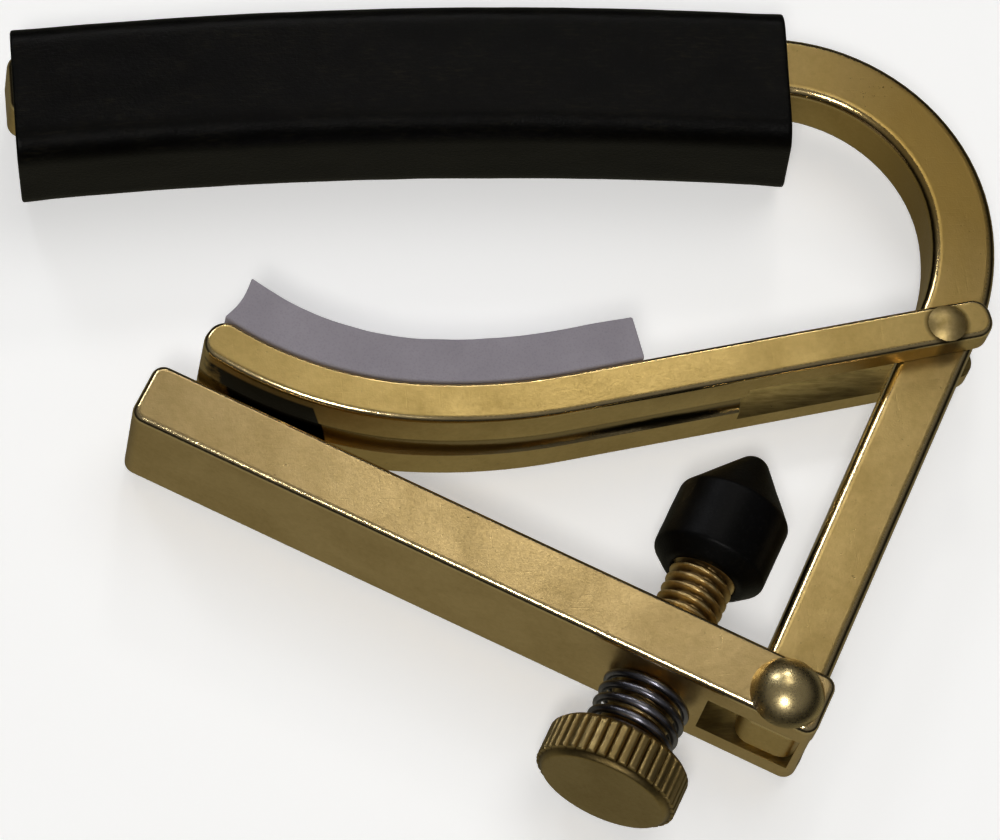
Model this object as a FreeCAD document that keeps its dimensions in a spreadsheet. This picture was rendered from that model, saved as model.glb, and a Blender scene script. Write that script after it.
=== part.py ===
import FreeCAD, Part
import math
import os

V = FreeCAD.Vector
doc = FreeCAD.newDocument("guitar_capo")

# Sizes in millimetres and degrees.  The capo lies on its side: X runs along the string bar,
# Y runs from the lever up to the string bar, Z runs along the two pivots.
SIZES = {
    # place of the whole capo on the table
    "datum_x": -2.275,
    "datum_y": -0.667,
    "datum_z": 5.194,
    # frame: square bar bent into a J
    "bar_thick": 4.76,
    "bar_width": 4.76,
    "bar_round": 0.75,
    "bar_end_round": 1.0,
    "arch_mid_x": -4.9,
    "arch_top_y": 30.75,
    "arch_radius": 335.0,
    "bar_tip_x": -33.5,
    "bend_x": 22.3,
    "bend_y": 13.85,
    "bend_radius": 15.75,
    "bend_open": 3.5,
    "leg_angle": 60.6,
    "leg_tail": 1.9,
    "leg_end_round": 1.3,
    # rubber sleeve on the string bar
    "sleeve_left_x": -33.35,
    "sleeve_right_x": 24.05,
    "sleeve_left_lean": -0.1,
    "sleeve_right_lean": -0.75,
    "sleeve_skew": 0.9,
    "sleeve_width": 9.0,
    "sleeve_over": 1.42,
    "sleeve_under": 4.86,
    "sleeve_under_lean": 0.2,
    "sleeve_round": 2.0,
    "sleeve_gap": 0.02,
    # pivots
    "upper_pivot_x": 32.6,
    "upper_pivot_y": 4.25,
    "lower_pivot_x": 17.032,
    "lower_pivot_y": -23.66,
    "upper_pin_radius": 0.95,
    "upper_head_radius": 1.42,
    "upper_head_rise": 0.5,
    "upper_tail_radius": 1.3,
    "lower_pin_radius": 1.5,
    "lower_head_radius": 2.64,
    "lower_head_rise": 1.75,
    "lower_tail_radius": 1.85,
    "tail_rise": 0.45,
    "pin_play": 0.05,
    "pin_seat": 0.005,
    "head_gap": 0.03,
    # clamp arm
    "arm_thick": 3.05,
    "arm_width": 9.2,
    "arm_round": 0.45,
    "arm_end_round": 1.35,
    "arm_mid_x": -2.1,
    "arm_mid_y": 42.82,
    "arm_mid_radius": 41.87,
    "arm_slope": 8.95,
    "arm_turn": 5.34,
    "arm_left_radius": 25.5,
    "arm_left_sweep": 39.6,
    "arm_ear_reach": 3.5,
    "slot_width": 4.92,
    "arm_slot_x": 17.85,
    "groove_radius": 1.6,
    "groove_depth": 0.65,
    # pad on the arm
    "pad_thick": 3.4,
    "pad_left_radius": 20.2,
    "pad_round": 0.12,
    "pad_gap": 0.02,
    "pad_right_x": 10.1,
    "pad_width": 9.1,
    # lever
    "lever_angle": -30.0,
    "lever_top": 2.67,
    "lever_thick": 4.76,
    "lever_left": 49.61,
    "lever_right": 2.94,
    "lever_width": 9.2,
    "lever_round": 0.5,
    "lever_corner": 0.95,
    "lever_slot_left": 4.76,
    "lever_slot_right": 2.24,
    "lever_web": 0.49,
    # adjusting screw, its tip cap and its spring, measured along the screw from the lever's pivot line
    "screw_offset": 8.71,
    "screw_radius": 2.415,
    "screw_play": 0.06,
    "screw_end": 12.6,
    "knob_radius": 5.2,
    "knob_inner": -7.2,
    "knob_outer": -10.7,
    "knob_chamfer": 0.65,
    "knurl_count": 40,
    "knurl_depth": 0.32,
    "cap_radius": 4.2,
    "cap_base": 7.4,
    "cap_base_radius": 3.05,
    "cap_skirt": 8.5,
    "cap_shoulder": 13.3,
    "cap_nose": 17.84,
    "cap_nose_radius": 1.35,
    "cap_bore_end": 12.7,
    "cap_bore_play": 0.03,
    "spring_radius": 3.02,
    "spring_wire": 0.34,
    "spring_turns": 4.6,
}

sheet = doc.addObject("Spreadsheet::Sheet", "sizes")
for row, (alias, value) in enumerate(SIZES.items(), start=1):
    sheet.set("A%d" % row, alias)
    sheet.set("B%d" % row, str(value))
    sheet.setAlias("B%d" % row, alias)
doc.recompute()


def size(alias):
    """One value of the sheet as a plain number."""
    return float(sheet.get(alias))


def on_circle(centre, radius, degrees):
    """Point on a circle; the angle is counted from +X."""
    angle = math.radians(degrees)
    return V(centre.x + radius * math.cos(angle), centre.y + radius * math.sin(angle), 0)


def line(start, end):
    return Part.LineSegment(start, end), 1, 2


def arc(centre, radius, first, last):
    """Arc walked from angle first to angle last, in either sense."""
    circle = Part.Circle(centre, V(0, 0, 1), radius)
    low, high = sorted((math.radians(first), math.radians(last)))
    curve = Part.ArcOfCircle(circle, low, high)
    return (curve, 1, 2) if first < last else (curve, 2, 1)


def arc_through(start, middle, end):
    """Arc through three points, walked from start to end."""
    centre = Part.Circle(start, middle, end).Center
    first, half, last = (math.degrees(math.atan2(p.y - centre.y, p.x - centre.x)) for p in (start, middle, end))
    leftward = (middle - start).cross(end - start).z > 0
    while leftward and last < first:
        last += 360
    while not leftward and last > first:
        last -= 360
    return arc(centre, (start - centre).Length, first, last)


def new_body(label):
    body = doc.addObject("PartDesign::Body", label)
    body.Label = label
    doc.recompute()
    return body


def plane_of(body, role):
    return next(f for f in body.Origin.OriginFeatures if f.Role == role)


def new_sketch(body, name, role, pieces=(), closed=True):
    """Sketch on one of the body's own planes, its pieces joined end to end."""
    sketch = body.newObject("Sketcher::SketchObject", name)
    sketch.AttachmentSupport = [(plane_of(body, role), "")]
    sketch.MapMode = "FlatFace"
    doc.recompute()
    import Sketcher
    ids = [sketch.addGeometry(piece[0], False) for piece in pieces]
    pairs = list(zip(range(len(ids)), range(1, len(ids))))
    if closed and len(ids) > 1:
        pairs.append((len(ids) - 1, 0))
    for i, j in pairs:
        sketch.addConstraint(Sketcher.Constraint("Coincident", ids[i], pieces[i][2], ids[j], pieces[j][1]))
    return sketch


def tie_radius(sketch, index, expression):
    """Drive the radius of one arc or circle from the sheet."""
    import Sketcher
    radius = sketch.Geometry[index].Radius
    number = sketch.addConstraint(Sketcher.Constraint("Radius", index, radius))
    sketch.setExpression("Constraints[%d]" % number, expression)


def tie_span(sketch, kind, index, length, expression):
    """Drive the length of one line, or its reach along X or Y, from the sheet."""
    import Sketcher
    number = sketch.addConstraint(Sketcher.Constraint(kind, index, 1, index, 2, length))
    sketch.setExpression("Constraints[%d]" % number, expression)


def pad(body, name, sketch, width_expression):
    feature = body.newObject("PartDesign::Pad", name)
    feature.Profile = sketch
    feature.Midplane = True
    feature.setExpression("Length", width_expression)
    doc.recompute()
    return feature


def pocket(body, name, sketch, length_expression=None, midplane=False, reverse=False):
    """Cut that must remove material; it cuts through everything when no length is given."""
    before = body.Shape.Volume
    feature = body.newObject("PartDesign::Pocket", name)
    feature.Profile = sketch
    feature.Midplane = midplane
    feature.Reversed = reverse
    if length_expression:
        feature.setExpression("Length", length_expression)
    else:
        feature.Type = 1
    doc.recompute()
    if body.Shape.Volume > before - 1e-6:
        raise RuntimeError(name + " removes nothing")
    return feature


def fillet(body, name, edges, radius_expression):
    rounded = body.Tip
    feature = body.newObject("PartDesign::Fillet", name)
    feature.Base = (rounded, edges)
    feature.setExpression("Radius", radius_expression)
    doc.recompute()
    return feature


def corner_edges(body, corners):
    """Edges along Z that pass through the given corner points."""
    names = []
    for number, edge in enumerate(body.Shape.Edges, start=1):
        first, last = edge.Vertexes[0].Point, edge.Vertexes[-1].Point
        upright = abs(first.x - last.x) < 1e-4 and abs(first.y - last.y) < 1e-4 and abs(first.z - last.z) > 0.1
        if upright and any(math.hypot(first.x - c.x, first.y - c.y) < 1e-3 for c in corners):
            names.append("Edge%d" % number)
    if len(names) != len(corners):
        raise RuntimeError("%s: %d corner edges for %d corners" % (body.Label, len(names), len(corners)))
    return names


def rim_edges(body, half_width):
    """Edges that lie in the body's two outer faces across Z."""
    names = []
    for number, edge in enumerate(body.Shape.Edges, start=1):
        heights = [edge.valueAt(edge.FirstParameter + f * (edge.LastParameter - edge.FirstParameter)).z
                   for f in (0.0, 0.5, 1.0)]
        if all(abs(abs(z) - half_width) < 1e-4 for z in heights):
            names.append("Edge%d" % number)
    return names


def long_rim_edges(body, half_width, least):
    """Those rim edges that are at least the given length."""
    edges = body.Shape.Edges
    return [name for name in rim_edges(body, half_width) if edges[int(name[4:]) - 1].Length > least]


def circle_sketch(body, name, role, centres, radius, expression):
    sketch = new_sketch(body, name, role)
    for centre in centres:
        index = sketch.addGeometry(Part.Circle(centre, V(0, 0, 1), radius), False)
        tie_radius(sketch, index, expression)
    return sketch


def rectangle(left, low, right, high):
    corners = [V(left, low, 0), V(right, low, 0), V(right, high, 0), V(left, high, 0)]
    return [line(corners[i], corners[(i + 1) % 4]) for i in range(4)]


def place_at(body, x_expression, y_expression, rotation=None):
    if rotation is not None:
        body.Placement = FreeCAD.Placement(V(0, 0, 0), rotation)
    body.setExpression("Placement.Base.x", x_expression)
    body.setExpression("Placement.Base.y", y_expression)
    body.setExpression("Placement.Base.z", "sizes.datum_z")


AT_DATUM = ("sizes.datum_x", "sizes.datum_y")
AT_UPPER = ("sizes.upper_pivot_x + sizes.datum_x", "sizes.upper_pivot_y + sizes.datum_y")
AT_LOWER = ("sizes.lower_pivot_x + sizes.datum_x", "sizes.lower_pivot_y + sizes.datum_y")
AT_SCREW = (
    "sizes.lower_pivot_x + sizes.datum_x - sizes.screw_offset * cos(sizes.lever_angle * 1deg)",
    "sizes.lower_pivot_y + sizes.datum_y - sizes.screw_offset * sin(sizes.lever_angle * 1deg)",
)
LEVER_TURN = FreeCAD.Rotation(V(0, 0, 1), size("lever_angle"))
SCREW_TURN = LEVER_TURN.multiply(FreeCAD.Rotation(V(1, 0, 0), -90))

upper_pivot = V(size("upper_pivot_x"), size("upper_pivot_y"), 0)
lower_pivot = V(size("lower_pivot_x"), size("lower_pivot_y"), 0)

# ---------------------------------------------------------------- frame bar
arch_centre = V(size("arch_mid_x"), size("arch_top_y") - size("arch_radius"), 0)
bend_centre = V(size("bend_x"), size("bend_y"), 0)
open_centre = bend_centre - V(size("bend_open"), 0, 0)
join = bend_centre - arch_centre
join_angle = math.degrees(math.atan2(join.y, join.x))
# the bend touches the arch from inside, so the arch is shifted along the line of centres
arch_centre = bend_centre - join.normalize() * (size("arch_radius") - size("bend_radius"))
leg_normal = size("leg_angle") - 90
leg_dir = V(-math.cos(math.radians(size("leg_angle"))), -math.sin(math.radians(size("leg_angle"))), 0)


def arch_angle(radius, x):
    return math.degrees(math.acos((x - arch_centre.x) / radius))


bar_out = size("arch_radius")
bar_in = bar_out - size("bar_thick")
bend_in = size("bend_radius") - size("bar_thick")
open_out = size("bend_radius") + size("bend_open")
open_in = open_out - size("bar_thick")
tip_x = size("bar_tip_x")
leg_axis = on_circle(open_centre, open_out - size("bar_thick") / 2, leg_normal)
leg_end = lower_pivot + leg_dir * size("leg_tail")
leg_length = (leg_end - leg_axis).dot(leg_dir)

frame = new_body("frame_bar")
tip_top = on_circle(arch_centre, bar_out, arch_angle(bar_out, tip_x))
tip_low = on_circle(arch_centre, bar_in, arch_angle(bar_in, tip_x))
leg_out_top = on_circle(open_centre, open_out, leg_normal)
leg_in_top = on_circle(open_centre, open_in, leg_normal)
leg_out_end = leg_out_top + leg_dir * leg_length
leg_in_end = leg_in_top + leg_dir * leg_length
outline = [
    arc(arch_centre, bar_out, arch_angle(bar_out, tip_x), join_angle),
    arc(bend_centre, size("bend_radius"), join_angle, 0),
    arc(open_centre, open_out, 0, leg_normal),
    line(leg_out_top, leg_out_end),
    line(leg_out_end, leg_in_end),
    line(leg_in_end, leg_in_top),
    arc(open_centre, open_in, leg_normal, 0),
    arc(bend_centre, bend_in, 0, join_angle),
    arc(arch_centre, bar_in, join_angle, arch_angle(bar_in, tip_x)),
    line(tip_low, tip_top),
]
frame_outline = new_sketch(frame, "frame_outline", "XY_Plane", outline)
tie_radius(frame_outline, 1, "sizes.bend_radius")
tie_radius(frame_outline, 7, "sizes.bend_radius - sizes.bar_thick")
pad(frame, "frame_bar_blank", frame_outline, "sizes.bar_width")
fillet(frame, "frame_leg_end", corner_edges(frame, [leg_out_end, leg_in_end]), "sizes.leg_end_round")
fillet(frame, "frame_tip_end", corner_edges(frame, [tip_top, tip_low]), "sizes.bar_end_round")
fillet(frame, "frame_edges", rim_edges(frame, size("bar_width") / 2), "sizes.bar_round")
frame_upper = circle_sketch(frame, "frame_upper_hole", "XY_Plane", [upper_pivot],
                            size("upper_pin_radius") + size("pin_seat"),
                            "sizes.upper_pin_radius + sizes.pin_seat")
pocket(frame, "frame_upper_bore", frame_upper, "sizes.bar_width * 2", midplane=True)
frame_lower = circle_sketch(frame, "frame_lower_hole", "XY_Plane", [lower_pivot],
                            size("lower_pin_radius") + size("pin_seat"),
                            "sizes.lower_pin_radius + sizes.pin_seat")
pocket(frame, "frame_lower_bore", frame_lower, "sizes.bar_width * 2", midplane=True)
place_at(frame, *AT_DATUM)

# ---------------------------------------------------------------- rubber sleeve
sleeve = new_body("bar_sleeve")
sleeve_out = bar_out + size("sleeve_over")
sleeve_in = bar_in - size("sleeve_under")
left_x, right_x, skew = size("sleeve_left_x"), size("sleeve_right_x"), size("sleeve_skew")


def sleeve_point(radius, x):
    return on_circle(arch_centre, radius, arch_angle(radius, x))


# both ends are cut askew, so the outline is drawn a little longer than the cuts leave it
left_corner = sleeve_point(sleeve_out, left_x)
left_foot = sleeve_point(sleeve_in, left_x + size("sleeve_left_lean"))
right_corner = sleeve_point(sleeve_out, right_x)
right_foot = sleeve_point(sleeve_in, right_x + size("sleeve_right_lean"))
blank_left, blank_right = left_x - 1.0, right_x + skew + 1.0
top_left, top_right = sleeve_point(sleeve_out, blank_left), sleeve_point(sleeve_out, blank_right)
low_left = sleeve_point(sleeve_in + size("sleeve_under_lean"), blank_left)
low_middle = sleeve_point(sleeve_in, (left_x + right_x) / 2)
low_right = sleeve_point(sleeve_in - size("sleeve_under_lean"), blank_right)
outline = [
    arc(arch_centre, sleeve_out, arch_angle(sleeve_out, blank_left), arch_angle(sleeve_out, blank_right)),
    line(top_right, low_right),
    arc_through(low_right, low_middle, low_left),
    line(low_left, top_left),
]
sleeve_outline = new_sketch(sleeve, "sleeve_outline", "XY_Plane", outline)
pad(sleeve, "sleeve_blank", sleeve_outline, "sizes.sleeve_width")
fillet(sleeve, "sleeve_edges", long_rim_edges(sleeve, size("sleeve_width") / 2, 30), "sizes.sleeve_round")


def skew_cut(name, corner, foot, side):
    """Cuts one end of the sleeve along a plane through its front edge, from corner down to foot."""
    down = (foot - corner).normalize()
    sketch = new_sketch(sleeve, name + "_sketch", "XZ_Plane")
    sketch.AttachmentOffset = FreeCAD.Placement(
        V(corner.x, 0, -corner.y), FreeCAD.Rotation(V(0, 1, 0), math.degrees(math.atan2(down.x, -down.y))))
    half = size("sleeve_width") / 2
    front, back = V(-skew / 2, half * 2, 0), V(skew * 1.5, -half * 2, 0)
    outside = V(side * 4, 0, 0)
    ring = [front, back, V(back.x, back.y, 0) + outside, V(front.x, front.y, 0) + outside]
    for first, last in zip(ring, ring[1:] + ring[:1]):
        sketch.addGeometry(Part.LineSegment(first, last), False)
    doc.recompute()
    pocket(sleeve, name, sketch, "sizes.sleeve_width * 6", midplane=True)


skew_cut("sleeve_left_end", left_corner, left_foot, -1)
skew_cut("sleeve_right_end", right_corner, right_foot, 1)
gap = size("sleeve_gap")
far_left, far_right = left_x - 3, right_x + 3
channel = [
    arc(arch_centre, bar_out + gap, arch_angle(bar_out + gap, far_left), arch_angle(bar_out + gap, far_right)),
    line(on_circle(arch_centre, bar_out + gap, arch_angle(bar_out + gap, far_right)),
         on_circle(arch_centre, bar_in - gap, arch_angle(bar_in - gap, far_right))),
    arc(arch_centre, bar_in - gap, arch_angle(bar_in - gap, far_right), arch_angle(bar_in - gap, far_left)),
    line(on_circle(arch_centre, bar_in - gap, arch_angle(bar_in - gap, far_left)),
         on_circle(arch_centre, bar_out + gap, arch_angle(bar_out + gap, far_left))),
]
sleeve_channel = new_sketch(sleeve, "sleeve_channel", "XY_Plane", channel)
pocket(sleeve, "sleeve_bar_way", sleeve_channel, "sizes.bar_width + 2 * sizes.sleeve_gap", midplane=True)
place_at(sleeve, *AT_DATUM)

# ---------------------------------------------------------------- clamp arm
arm_centre = V(size("arm_mid_x"), size("arm_mid_y"), 0)
arm_top = size("arm_mid_radius")
arm_low = arm_top + size("arm_thick")
slope = -90 + size("arm_slope")
turn = -90 - size("arm_turn")
left_centre = on_circle(arm_centre, arm_top - size("arm_left_radius"), turn)
left_top = size("arm_left_radius")
left_low = left_top + size("arm_thick")
end_angle = -90 - size("arm_left_sweep")
arm_dir = V(math.cos(math.radians(size("arm_slope"))), math.sin(math.radians(size("arm_slope"))), 0)
straight_top = on_circle(arm_centre, arm_top, slope)
straight_low = on_circle(arm_centre, arm_low, slope)
reach = (upper_pivot - straight_top).dot(arm_dir) + size("arm_ear_reach")

arm = new_body("clamp_arm")
ear_top = straight_top + arm_dir * reach
ear_low = straight_low + arm_dir * reach
end_top = on_circle(left_centre, left_top, end_angle)
end_low = on_circle(left_centre, left_low, end_angle)
outline = [
    line(ear_top, straight_top),
    arc(arm_centre, arm_top, slope, turn),
    arc(left_centre, left_top, turn, end_angle),
    line(end_top, end_low),
    arc(left_centre, left_low, end_angle, turn),
    arc(arm_centre, arm_low, turn, slope),
    line(straight_low, ear_low),
    line(ear_low, ear_top),
]
arm_outline = new_sketch(arm, "arm_outline", "XY_Plane", outline)
tie_radius(arm_outline, 1, "sizes.arm_mid_radius")
tie_radius(arm_outline, 5, "sizes.arm_mid_radius + sizes.arm_thick")
tie_radius(arm_outline, 2, "sizes.arm_left_radius")
pad(arm, "arm_blank", arm_outline, "sizes.arm_width")
fillet(arm, "arm_ends", corner_edges(arm, [ear_top, ear_low, end_top, end_low]), "sizes.arm_end_round")
fillet(arm, "arm_edges", rim_edges(arm, size("arm_width") / 2), "sizes.arm_round")

# shallow round groove along the underside, where the screw tip bears
groove_reach = size("groove_radius") - size("groove_depth")
groove_path = new_sketch(arm, "arm_groove_path", "XY_Plane", [
    line(on_circle(arm_centre, arm_low + groove_reach, slope) + arm_dir * 20,
         on_circle(arm_centre, arm_low + groove_reach, slope)),
    arc(arm_centre, arm_low + groove_reach, slope, turn),
    arc(left_centre, left_low + groove_reach, turn, end_angle - 6),
], closed=False)
groove_start = on_circle(arm_centre, arm_low + groove_reach, slope) + arm_dir * 20
groove_profile = arm.newObject("Sketcher::SketchObject", "arm_groove_profile")
groove_profile.AttachmentSupport = [(plane_of(arm, "YZ_Plane"), "")]
groove_profile.MapMode = "FlatFace"
groove_profile.AttachmentOffset = FreeCAD.Placement(
    V(groove_start.y, 0, groove_start.x), FreeCAD.Rotation(V(0, 1, 0), size("arm_slope")))
doc.recompute()
groove_profile.addGeometry(Part.Circle(V(0, 0, 0), V(0, 0, 1), size("groove_radius")), False)
tie_radius(groove_profile, 0, "sizes.groove_radius")
doc.recompute()
before_groove = arm.Shape.Volume
groove = arm.newObject("PartDesign::SubtractivePipe", "arm_groove")
groove.Profile = groove_profile
groove.Spine = (groove_path, ["Edge1", "Edge2", "Edge3"])
doc.recompute()
if arm.Shape.Volume > before_groove - 1:
    raise RuntimeError("the groove removes nothing")

half_slot = size("slot_width") / 2
arm_slot = new_sketch(arm, "arm_slot", "XZ_Plane",
                      rectangle(size("arm_slot_x"), -half_slot, size("upper_pivot_x") + 8, half_slot))
tie_span(arm_slot, "DistanceY", 1, size("slot_width"), "sizes.slot_width")
pocket(arm, "arm_leg_slot", arm_slot, "sizes.arm_width * 4", midplane=True)
arm_hole = circle_sketch(arm, "arm_pin_hole", "XY_Plane", [upper_pivot],
                         size("upper_pin_radius") + size("pin_play"),
                         "sizes.upper_pin_radius + sizes.pin_play")
pocket(arm, "arm_pin_bore", arm_hole, "sizes.arm_width * 2", midplane=True)
place_at(arm, *AT_DATUM)

# ---------------------------------------------------------------- pad on the arm
glue = size("pad_gap")
pad_top = arm_top - size("pad_thick")
pad_left = size("pad_left_radius")
pad_left_centre = on_circle(arm_centre, pad_top - pad_left, turn)
pad_body = new_body("arm_pad")
right_low = straight_top + arm_dir * ((size("pad_right_x") - straight_top.x) / arm_dir.x)
arm_up = V(-arm_dir.y, arm_dir.x, 0)
right_low = right_low + arm_up * glue
right_top = right_low + arm_up * (size("pad_thick") - glue)
straight_pad_low = on_circle(arm_centre, arm_top - glue, slope)
straight_pad_top = on_circle(arm_centre, pad_top, slope)
left_low_point = on_circle(left_centre, left_top - glue, -90 - 39.0)
left_top_point = on_circle(pad_left_centre, pad_left, -90 - 42.5)
left_middle = (left_low_point + left_top_point) * 0.5 + V(0.26, -0.16, 0)
outline = [
    line(right_top, straight_pad_top),
    arc(arm_centre, pad_top, slope, turn),
    arc(pad_left_centre, pad_left, turn, -90 - 42.5),
    arc_through(left_top_point, left_middle, left_low_point),
    arc(left_centre, left_top - glue, -90 - 39.0, turn),
    arc(arm_centre, arm_top - glue, turn, slope),
    line(straight_pad_low, right_low),
    line(right_low, right_top),
]
pad_outline = new_sketch(pad_body, "pad_outline", "XY_Plane", outline)
tie_radius(pad_outline, 1, "sizes.arm_mid_radius - sizes.pad_thick")
tie_radius(pad_outline, 2, "sizes.pad_left_radius")
pad(pad_body, "pad_blank", pad_outline, "sizes.pad_width")
pad_corners = [right_top, right_low, left_top_point, left_low_point]
fillet(pad_body, "pad_corners", corner_edges(pad_body, pad_corners), "sizes.pad_round + 0.05")
fillet(pad_body, "pad_edges", rim_edges(pad_body, size("pad_width") / 2), "sizes.pad_round")
place_at(pad_body, *AT_DATUM)

# ---------------------------------------------------------------- lever
lever = new_body("lever")
top = size("lever_top")
low = top - size("lever_thick")
blank = rectangle(-size("lever_left"), low, size("lever_right"), top)
lever_outline = new_sketch(lever, "lever_outline", "XY_Plane", blank)
tie_span(lever_outline, "DistanceY", 1, size("lever_thick"), "sizes.lever_thick")
tie_span(lever_outline, "DistanceX", 0, size("lever_left") + size("lever_right"),
         "sizes.lever_left + sizes.lever_right")
pad(lever, "lever_blank", lever_outline, "sizes.lever_width")
lever_corners = [V(x, y, 0) for x in (-size("lever_left"), size("lever_right")) for y in (low, top)]
fillet(lever, "lever_corners", corner_edges(lever, lever_corners), "sizes.lever_corner")
fillet(lever, "lever_edges", rim_edges(lever, size("lever_width") / 2), "sizes.lever_round")
lever_slot = new_sketch(lever, "lever_slot", "XZ_Plane",
                        rectangle(-size("lever_slot_left"), -half_slot, size("lever_slot_right"), half_slot))
tie_span(lever_slot, "DistanceY", 1, size("slot_width"), "sizes.slot_width")
pocket(lever, "lever_leg_slot", lever_slot, "sizes.lever_thick * 3", midplane=True)
web_top = low + size("lever_web")
lever_end = new_sketch(lever, "lever_end_gap", "XY_Plane",
                       rectangle(size("lever_slot_right") - 0.5, web_top, size("lever_right") + 1, top + 1))
pocket(lever, "lever_end_opening", lever_end, "sizes.slot_width", midplane=True)
lever_pin = circle_sketch(lever, "lever_pin_hole", "XY_Plane", [V(0, 0, 0)],
                          size("lower_pin_radius") + size("pin_play"),
                          "sizes.lower_pin_radius + sizes.pin_play")
pocket(lever, "lever_pin_bore", lever_pin, "sizes.lever_width * 2", midplane=True)
lever_screw = circle_sketch(lever, "lever_screw_hole", "XZ_Plane", [V(-size("screw_offset"), 0, 0)],
                            size("screw_radius") + size("screw_play"),
                            "sizes.screw_radius + sizes.screw_play")
pocket(lever, "lever_screw_bore", lever_screw, "sizes.lever_thick * 3", midplane=True)
place_at(lever, *AT_LOWER, rotation=LEVER_TURN)


# ---------------------------------------------------------------- rivets
def make_rivet(label, pin, head, rise, foot, half_grip, ties, where):
    """Pin with a domed head on +Z and a low formed head on -Z."""
    body = new_body(label)
    face = half_grip + size("head_gap")
    tail = size("tail_rise")
    head_centre = face + (rise ** 2 - head ** 2) / (2 * rise)
    head_ball = face + rise - head_centre
    middle = V(head_ball * math.sin(0.5 * math.asin(min(1.0, head / head_ball))),
               head_centre + head_ball * math.cos(0.5 * math.asin(min(1.0, head / head_ball))), 0)
    outline = [
        line(V(0, -face - tail, 0), V(foot * 0.67, -face - tail, 0)),
        arc_through(V(foot * 0.67, -face - tail, 0), V(foot * 0.92, -face - tail * 0.62, 0),
                    V(foot, -face, 0)),
        line(V(foot, -face, 0), V(pin, -face, 0)),
        line(V(pin, -face, 0), V(pin, face, 0)),
        line(V(pin, face, 0), V(head, face, 0)),
        arc_through(V(head, face, 0), middle, V(0, face + rise, 0)),
        line(V(0, face + rise, 0), V(0, -face - tail, 0)),
    ]
    sketch = new_sketch(body, label + "_profile", "XZ_Plane", outline)
    tie_span(sketch, "DistanceX", 4, head - pin, ties)
    turned = body.newObject("PartDesign::Revolution", label + "_turned")
    turned.Profile = sketch
    turned.ReferenceAxis = (sketch, ["V_Axis"])
    turned.Angle = 360
    doc.recompute()
    place_at(body, *where)
    return body


make_rivet("upper_rivet", size("upper_pin_radius"), size("upper_head_radius"), size("upper_head_rise"),
           size("upper_tail_radius"), size("arm_width") / 2, "sizes.upper_head_radius - sizes.upper_pin_radius", AT_UPPER)
make_rivet("lower_rivet", size("lower_pin_radius"), size("lower_head_radius"), size("lower_head_rise"),
           size("lower_tail_radius"), size("lever_width") / 2, "sizes.lower_head_radius - sizes.lower_pin_radius", AT_LOWER)

# ---------------------------------------------------------------- adjusting screw, turned in one piece
screw = new_body("adjusting_screw")
shank = size("screw_radius")
knob = size("knob_radius")
chamfer = size("knob_chamfer")
inner, outer = size("knob_inner"), size("knob_outer")
tip = size("screw_end")
outline = [
    line(V(0, outer, 0), V(knob - chamfer, outer, 0)),
    line(V(knob - chamfer, outer, 0), V(knob, outer + chamfer, 0)),
    line(V(knob, outer + chamfer, 0), V(knob, inner - chamfer, 0)),
    line(V(knob, inner - chamfer, 0), V(knob - chamfer, inner, 0)),
    line(V(knob - chamfer, inner, 0), V(shank, inner, 0)),
    line(V(shank, inner, 0), V(shank, tip - 0.5, 0)),
    line(V(shank, tip - 0.5, 0), V(shank - 0.5, tip, 0)),
    line(V(shank - 0.5, tip, 0), V(0, tip, 0)),
    line(V(0, tip, 0), V(0, outer, 0)),
]
screw_profile = new_sketch(screw, "screw_profile", "XZ_Plane", outline)
tie_span(screw_profile, "DistanceY", 2, inner - outer - 2 * chamfer,
         "sizes.knob_inner - sizes.knob_outer - 2 * sizes.knob_chamfer")
turned = screw.newObject("PartDesign::Revolution", "screw_turned")
turned.Profile = screw_profile
turned.ReferenceAxis = (screw_profile, ["V_Axis"])
turned.Angle = 360
doc.recompute()
half_tooth = math.pi * knob / size("knurl_count") * 0.8
depth = size("knurl_depth")
notch = new_sketch(screw, "knurl_notch", "XY_Plane", [
    line(V(knob - depth, 0, 0), V(knob + 0.1, half_tooth, 0)),
    line(V(knob + 0.1, half_tooth, 0), V(knob + 0.1, -half_tooth, 0)),
    line(V(knob + 0.1, -half_tooth, 0), V(knob - depth, 0, 0)),
])
notch_cut = pocket(screw, "knurl_cut", notch, "abs(sizes.knob_outer) * 2.5", midplane=True)
knurl = screw.newObject("PartDesign::PolarPattern", "knurl")
knurl.Originals = [notch_cut]
knurl.Axis = (screw_profile, ["V_Axis"])
knurl.Angle = 360
knurl.setExpression("Occurrences", "sizes.knurl_count")
screw.Tip = knurl
doc.recompute()
place_at(screw, *AT_SCREW, rotation=SCREW_TURN)

# ---------------------------------------------------------------- cap on the screw's tip
cap = new_body("screw_tip_cap")
side = size("cap_radius")
nose_ball = size("cap_nose_radius")
nose_top = size("cap_nose")
bore = shank + size("cap_bore_play")
ball_centre = V(0, nose_top - nose_ball, 0)
to_rim = V(side, size("cap_shoulder"), 0) - ball_centre
touch = math.degrees(math.atan2(to_rim.y, to_rim.x) + math.acos(nose_ball / to_rim.Length))
nose_side = on_circle(ball_centre, nose_ball, touch)
outline = [
    line(V(bore, size("cap_base"), 0), V(size("cap_base_radius"), size("cap_base"), 0)),
    line(V(size("cap_base_radius"), size("cap_base"), 0), V(side, size("cap_skirt"), 0)),
    line(V(side, size("cap_skirt"), 0), V(side, size("cap_shoulder"), 0)),
    line(V(side, size("cap_shoulder"), 0), nose_side),
    arc(ball_centre, nose_ball, touch, 90),
    line(V(0, nose_top, 0), V(0, size("cap_bore_end"), 0)),
    line(V(0, size("cap_bore_end"), 0), V(bore, size("cap_bore_end"), 0)),
    line(V(bore, size("cap_bore_end"), 0), V(bore, size("cap_base"), 0)),
]
cap_profile = new_sketch(cap, "cap_profile", "XZ_Plane", outline)
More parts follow.
